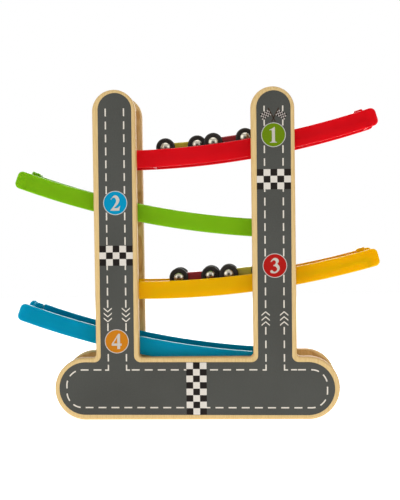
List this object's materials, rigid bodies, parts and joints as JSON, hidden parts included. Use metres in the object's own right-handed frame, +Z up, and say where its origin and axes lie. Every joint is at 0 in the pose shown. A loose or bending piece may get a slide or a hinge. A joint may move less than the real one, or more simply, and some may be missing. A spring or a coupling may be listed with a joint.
{
  "type": "click clack track toy",
  "caption": "Wooden zig-zag track toy: two U-shaped panels hold stacked curved plastic channel ramps on which small flip-over cars roll down and drop to the next ramp.",
  "frame": {"origin": "on the table, under the middle of the toy's bounding box", "axes": "+Z up, +X to the right of someone facing the numbered front, +Y from the front panel to the rear panel"},
  "size_m": [0.2926, 0.0544, 0.264],
  "materials": {
    "beech_panel": "sanded, lacquered light wood with rounded edges",
    "road_print": "printed sheet, matt grey with pale road markings",
    "red_plastic": "moulded, glossy red",
    "green_plastic": "moulded, glossy green",
    "yellow_plastic": "moulded, glossy yellow",
    "blue_plastic": "moulded, glossy blue",
    "beam_wood": "planed light wood",
    "dowel_wood": "turned light wood",
    "lime_paint": "wood painted lime green, semi-gloss",
    "red_paint": "wood painted red, semi-gloss",
    "axle_steel": "drawn steel wire",
    "wheel_black": "moulded black plastic, satin",
    "cap_chrome": "bright plated dome"
  },
  "bodies": {
    "track": {"front_panel": "beech_panel", "rear_panel": "beech_panel", "front_road_print": "road_print", "rear_road_print": "road_print", "red_ramp": "red_plastic", "green_ramp": "green_plastic", "yellow_ramp": "yellow_plastic", "blue_ramp": "blue_plastic", "base_beam": "beam_wood", "base_dowels": "dowel_wood"},
    "top_lime_car": {"top_lime_car_body": "lime_paint"},
    "top_lime_car_front_wheelset": {"top_lime_car_front_axle": "axle_steel", "top_lime_car_front_wheels": "wheel_black", "top_lime_car_front_hub_caps": "cap_chrome"},
    "top_lime_car_rear_wheelset": {"top_lime_car_rear_axle": "axle_steel", "top_lime_car_rear_wheels": "wheel_black", "top_lime_car_rear_hub_caps": "cap_chrome"},
    "top_red_car": {"top_red_car_body": "red_paint"},
    "top_red_car_front_wheelset": {"top_red_car_front_axle": "axle_steel", "top_red_car_front_wheels": "wheel_black", "top_red_car_front_hub_caps": "cap_chrome"},
    "top_red_car_rear_wheelset": {"top_red_car_rear_axle": "axle_steel", "top_red_car_rear_wheels": "wheel_black", "top_red_car_rear_hub_caps": "cap_chrome"},
    "third_red_car": {"third_red_car_body": "red_paint"},
    "third_red_car_front_wheelset": {"third_red_car_front_axle": "axle_steel", "third_red_car_front_wheels": "wheel_black", "third_red_car_front_hub_caps": "cap_chrome"},
    "third_red_car_rear_wheelset": {"third_red_car_rear_axle": "axle_steel", "third_red_car_rear_wheels": "wheel_black", "third_red_car_rear_hub_caps": "cap_chrome"},
    "third_lime_car": {"third_lime_car_body": "lime_paint"},
    "third_lime_car_front_wheelset": {"third_lime_car_front_axle": "axle_steel", "third_lime_car_front_wheels": "wheel_black", "third_lime_car_front_hub_caps": "cap_chrome"},
    "third_lime_car_rear_wheelset": {"third_lime_car_rear_axle": "axle_steel", "third_lime_car_rear_wheels": "wheel_black", "third_lime_car_rear_hub_caps": "cap_chrome"}
  },
  "joints": [
    {"name": "top_lime_car_roll", "type": "hinge", "parent": "track", "child": "top_lime_car", "pos_m": [-0.05819, 0, 0.88366], "axis": [0, 1, 0], "range_deg": [0, 0.8]},
    {"name": "top_lime_car_front_wheels_spin", "type": "hinge", "parent": "top_lime_car", "child": "top_lime_car_front_wheelset", "pos_m": [-0.02366, 0.0027, 0.21865], "axis": [0, 1, 0], "range_deg": [-71, 0]},
    {"name": "top_lime_car_rear_wheels_spin", "type": "hinge", "parent": "top_lime_car", "child": "top_lime_car_rear_wheelset", "pos_m": [0.00227, 0.0027, 0.22051], "axis": [0, 1, 0], "range_deg": [-71, 0]},
    {"name": "top_red_car_roll", "type": "hinge", "parent": "track", "child": "top_red_car", "pos_m": [-0.05819, 0, 0.88366], "axis": [0, 1, 0], "range_deg": [-6.9, 0]},
    {"name": "top_red_car_front_wheels_spin", "type": "hinge", "parent": "top_red_car", "child": "top_red_car_front_wheelset", "pos_m": [0.0155, -0.0027, 0.22185], "axis": [0, 1, 0], "range_deg": [0, 605]},
    {"name": "top_red_car_rear_wheels_spin", "type": "hinge", "parent": "top_red_car", "child": "top_red_car_rear_wheelset", "pos_m": [0.04128, -0.0027, 0.22523], "axis": [0, 1, 0], "range_deg": [0, 605]},
    {"name": "third_red_car_roll", "type": "hinge", "parent": "track", "child": "third_red_car", "pos_m": [-0.03727, 0, 0.77816], "axis": [0, 1, 0], "range_deg": [0, 1.6]},
    {"name": "third_red_car_front_wheels_spin", "type": "hinge", "parent": "third_red_car", "child": "third_red_car_front_wheelset", "pos_m": [-0.01438, 0.0027, 0.11265], "axis": [0, 1, 0], "range_deg": [-141, 0]},
    {"name": "third_red_car_rear_wheels_spin", "type": "hinge", "parent": "third_red_car", "child": "third_red_car_rear_wheelset", "pos_m": [0.01158, 0.0027, 0.11405], "axis": [0, 1, 0], "range_deg": [-141, 0]},
    {"name": "third_lime_car_roll", "type": "hinge", "parent": "track", "child": "third_lime_car", "pos_m": [-0.03727, 0, 0.77816], "axis": [0, 1, 0], "range_deg": [-6, 0]},
    {"name": "third_lime_car_front_wheels_spin", "type": "hinge", "parent": "third_lime_car", "child": "third_lime_car_front_wheelset", "pos_m": [0.02662, -0.0027, 0.11533], "axis": [0, 1, 0], "range_deg": [0, 526]},
    {"name": "third_lime_car_rear_wheels_spin", "type": "hinge", "parent": "third_lime_car", "child": "third_lime_car_rear_wheelset", "pos_m": [0.05245, -0.0027, 0.11833], "axis": [0, 1, 0], "range_deg": [0, 526]}
  ],
  "couplings": [
    {"joint": "top_lime_car_front_wheels_spin", "follows": "top_lime_car_roll", "ratio": -87.507},
    {"joint": "top_lime_car_rear_wheels_spin", "follows": "top_lime_car_roll", "ratio": -87.507},
    {"joint": "top_red_car_front_wheels_spin", "follows": "top_red_car_roll", "ratio": -87.507},
    {"joint": "top_red_car_rear_wheels_spin", "follows": "top_red_car_roll", "ratio": -87.507},
    {"joint": "third_red_car_front_wheels_spin", "follows": "third_red_car_roll", "ratio": -87.507},
    {"joint": "third_red_car_rear_wheels_spin", "follows": "third_red_car_roll", "ratio": -87.507},
    {"joint": "third_lime_car_front_wheels_spin", "follows": "third_lime_car_roll", "ratio": -87.507},
    {"joint": "third_lime_car_rear_wheels_spin", "follows": "third_lime_car_roll", "ratio": -87.507}
  ]
}
